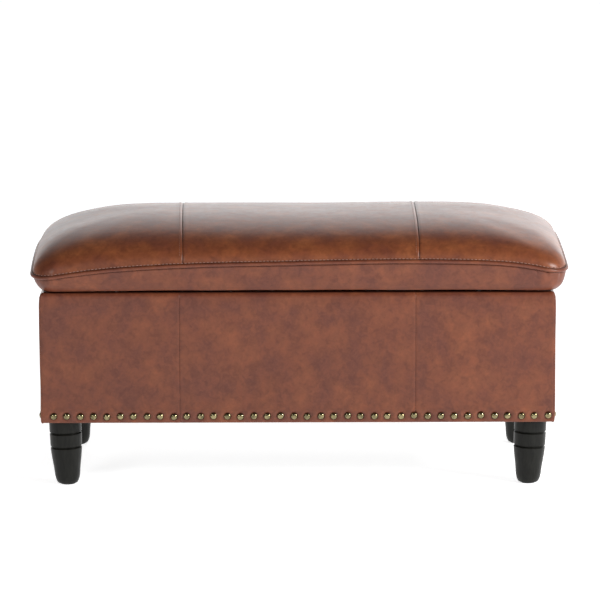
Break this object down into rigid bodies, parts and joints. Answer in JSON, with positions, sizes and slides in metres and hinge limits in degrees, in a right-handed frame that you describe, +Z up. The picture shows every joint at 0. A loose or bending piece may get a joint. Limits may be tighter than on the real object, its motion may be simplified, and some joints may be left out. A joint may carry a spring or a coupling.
{
  "type": "storage ottoman",
  "caption": "Rectangular storage ottoman: leather-covered box on turned legs, with brass nail trim and a padded pillow-top lid that hinges up at the back on slotted stays.",
  "frame": {"origin": "on the floor, under the centre of the bench", "axes": "+Z up, X along the bench's length, front facing -Y"},
  "size_m": [0.98, 0.48, 0.487],
  "materials": {
    "brown_leather": "satin",
    "black_leg": "satin",
    "antique_brass": "satin",
    "plywood": "matte",
    "foam": "matte",
    "lining_cloth": "matte",
    "dust_cloth": "matte",
    "zinc_steel": "satin",
    "stay_steel": "satin",
    "glide_plastic": "matte",
    "bumper_rubber": "matte"
  },
  "bodies": {
    "box": {"front_panel": "plywood", "rear_panel": "plywood", "left_panel": "plywood", "right_panel": "plywood", "front_padding": "foam", "rear_padding": "foam", "left_padding": "foam", "right_padding": "foam", "cover_front_left": "brown_leather", "cover_front_centre": "brown_leather", "cover_front_right": "brown_leather", "cover_left_side": "brown_leather", "cover_right_side": "brown_leather", "cover_rear": "brown_leather", "lining_front": "lining_cloth", "lining_rear": "lining_cloth", "lining_left": "lining_cloth", "lining_right": "lining_cloth", "lining_floor": "lining_cloth", "base_panel": "plywood", "front_cleat": "plywood", "rear_cleat": "plywood", "front_left_corner_block": "plywood", "front_right_corner_block": "plywood", "rear_left_corner_block": "plywood", "rear_right_corner_block": "plywood", "dust_cover": "dust_cloth", "nails_front": "antique_brass", "nails_rear": "antique_brass", "nails_left": "antique_brass", "nails_right": "antique_brass", "front_left_leg": "black_leg", "front_right_leg": "black_leg", "rear_left_leg": "black_leg", "rear_right_leg": "black_leg", "foot_glides": "glide_plastic", "leg_bolts": "zinc_steel", "leg_t_nuts": "zinc_steel", "rim_bumpers": "bumper_rubber", "hinge_box_leaves": "zinc_steel", "hinge_box_screws": "zinc_steel", "hinge_pins": "zinc_steel", "stay_stud_plates": "zinc_steel", "stay_stud_screws": "zinc_steel"},
    "lid": {"lid_board": "plywood", "lid_foam": "foam", "lid_cover_left": "brown_leather", "lid_cover_centre": "brown_leather", "lid_cover_right": "brown_leather", "lid_band": "brown_leather", "lid_piping": "brown_leather", "lid_lining": "lining_cloth", "hinge_lid_leaves": "zinc_steel", "hinge_lid_screws": "zinc_steel", "stay_lid_brackets": "zinc_steel", "stay_bracket_screws": "zinc_steel", "stay_rivets": "zinc_steel"},
    "left_stay_arm": {"stay_arm_left": "stay_steel"},
    "right_stay_arm": {"stay_arm_right": "stay_steel"}
  },
  "joints": [
    {"name": "lid_hinge", "type": "hinge", "parent": "box", "child": "lid", "pos_m": [0, 0.2235, 0.3635], "axis": [-1, 0, 0], "range_deg": [0, 85]},
    {"name": "left_stay_pivot", "type": "hinge", "parent": "lid", "child": "left_stay_arm", "pos_m": [-0.4402, 0.11433, 0.35], "axis": [1, 0, 0], "range_deg": [0, 42.5]},
    {"name": "right_stay_pivot", "type": "hinge", "parent": "lid", "child": "right_stay_arm", "pos_m": [0.4402, 0.11433, 0.35], "axis": [1, 0, 0], "range_deg": [0, 42.5]}
  ],
  "couplings": [
    {"joint": "left_stay_pivot", "follows": "lid_hinge", "ratio": 0.5},
    {"joint": "right_stay_pivot", "follows": "lid_hinge", "ratio": 0.5}
  ]
}
